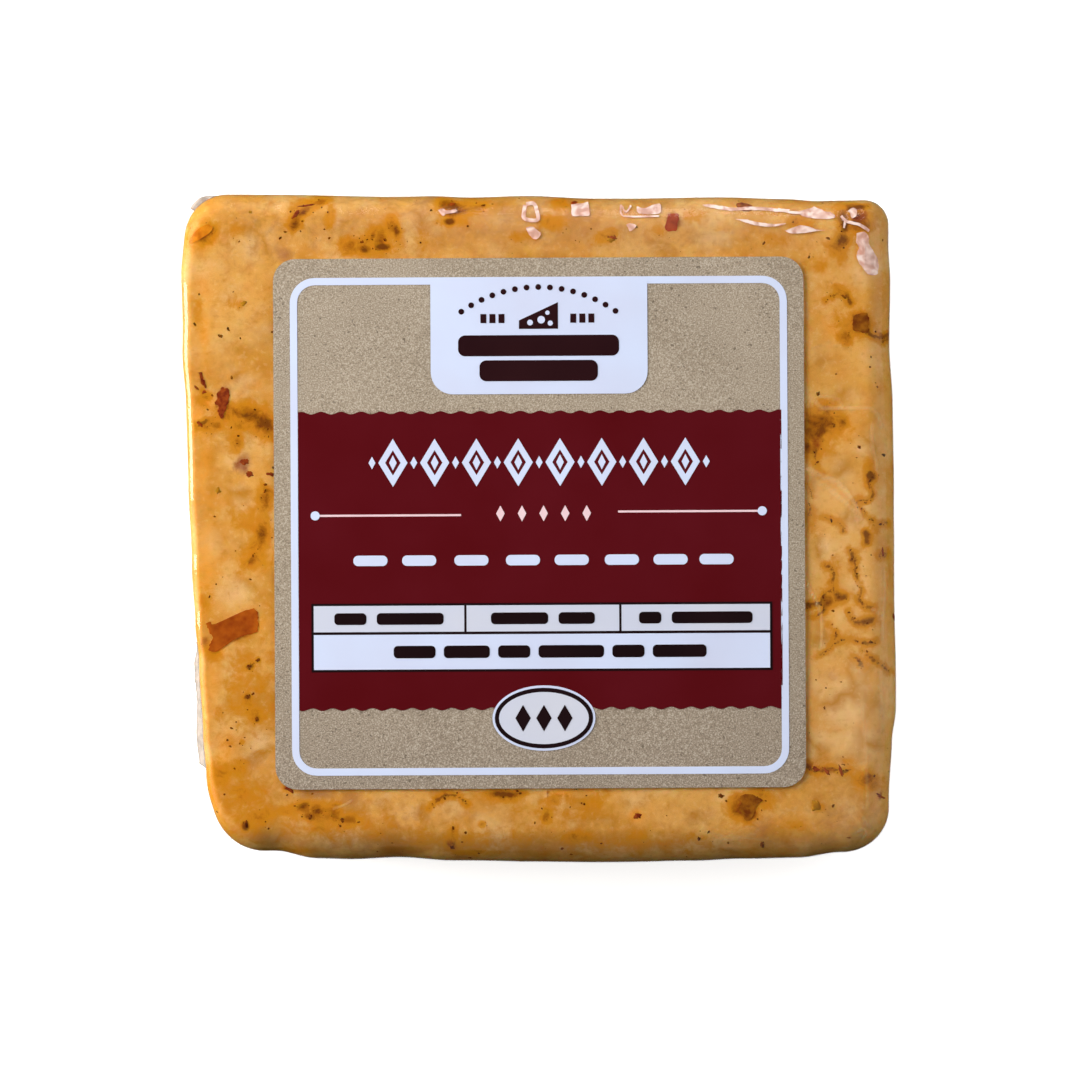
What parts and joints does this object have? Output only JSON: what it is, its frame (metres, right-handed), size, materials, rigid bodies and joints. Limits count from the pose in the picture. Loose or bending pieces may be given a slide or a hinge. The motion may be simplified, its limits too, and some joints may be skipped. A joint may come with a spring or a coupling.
{
  "type": "vacuum-packed cheese block",
  "caption": "Square block of spiced marbled cheese, shrink-wrapped in clear film, with a square kraft paper label on its front.",
  "frame": {"origin": "on the flat back that the pack lies on, under the middle of its box", "axes": "+Z points out of the labelled front, +Y to the pack's upper edge as pictured, +X to its right-hand edge"},
  "size_m": [0.1031, 0.0966, 0.0223],
  "materials": {
    "wrapped_cheese": "golden yellow cheese with orange and brown spice veins, under tight glossy clear film",
    "label_paper": "matt kraft paper, printed with a dark red band and pale panels"
  },
  "bodies": {
    "root": {"sealed_pack": "wrapped_cheese", "label": "label_paper"}
  },
  "joints": []
}
